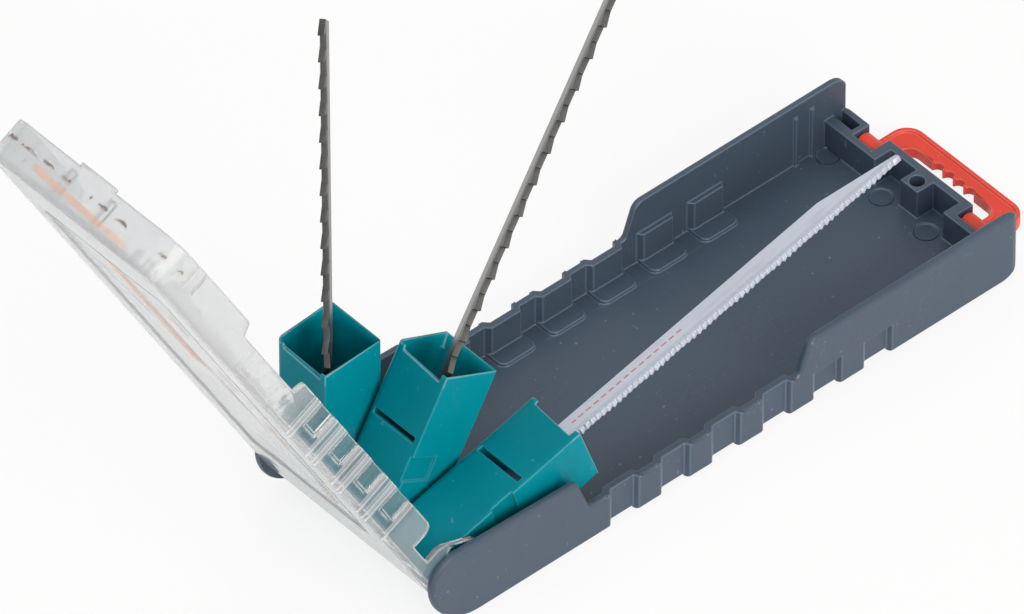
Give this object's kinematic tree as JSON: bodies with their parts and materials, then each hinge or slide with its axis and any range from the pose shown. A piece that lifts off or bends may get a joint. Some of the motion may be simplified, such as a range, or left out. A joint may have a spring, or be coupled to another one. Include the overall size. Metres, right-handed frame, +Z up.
{
  "type": "saw blade storage case",
  "caption": "Hinged flat case for jigsaw blades: grey tray, clear lid, swinging teal blade pockets on a steel hinge rod, and an orange hanger handle that latches the lid.",
  "frame": {"origin": "middle of the tray's flat underside", "axes": "+X from the hinge to the handle, +Y across to the rear wall, +Z up"},
  "size_m": [0.1968, 0.0446, 0.1215],
  "materials": {
    "tray_grey": "fine matte texture",
    "lid_clear": "clear, polished",
    "label_film": "clear printed film",
    "rod_steel": "drawn wire",
    "pocket_teal": "satin",
    "blade_steel": "ground, darker at the teeth",
    "handle_orange": "satin"
  },
  "bodies": {
    "tray": {"base_tray": "tray_grey", "hinge_rod": "rod_steel"},
    "lid": {"lid": "lid_clear", "lid_label": "label_film"},
    "pocket_front": {"pocket_front": "pocket_teal", "blade_front": "blade_steel"},
    "pocket_middle": {"pocket_middle": "pocket_teal", "blade_middle": "blade_steel"},
    "pocket_rear": {"pocket_rear": "pocket_teal", "blade_rear": "blade_steel"},
    "handle": {"hanger_handle": "handle_orange"}
  },
  "joints": [
    {"name": "lid_hinge", "type": "hinge", "parent": "tray", "child": "lid", "pos_m": [-0.0596, 0, 0.0106], "axis": [0, 1, 0], "range_deg": [0, 118.5]},
    {"name": "pocket_front_hinge", "type": "hinge", "parent": "tray", "child": "pocket_front", "pos_m": [-0.0562, 0, 0.0078], "axis": [0, 1, 0], "range_deg": [0, 15.4]},
    {"name": "pocket_middle_hinge", "type": "hinge", "parent": "tray", "child": "pocket_middle", "pos_m": [-0.0562, 0, 0.0078], "axis": [0, 1, 0], "range_deg": [0, 60.8]},
    {"name": "pocket_rear_hinge", "type": "hinge", "parent": "tray", "child": "pocket_rear", "pos_m": [-0.0562, 0, 0.0078], "axis": [0, 1, 0], "range_deg": [0, 90.3]},
    {"name": "handle_pivot", "type": "hinge", "parent": "tray", "child": "handle", "pos_m": [0.0632, 0, 0.0046], "axis": [0, -1, 0], "range_deg": [0, 90]}
  ],
  "couplings": [
    {"joint": "pocket_front_hinge", "follows": "lid_hinge", "ratio": 0.12996},
    {"joint": "pocket_middle_hinge", "follows": "lid_hinge", "ratio": 0.51308},
    {"joint": "pocket_rear_hinge", "follows": "lid_hinge", "ratio": 0.76202}
  ]
}
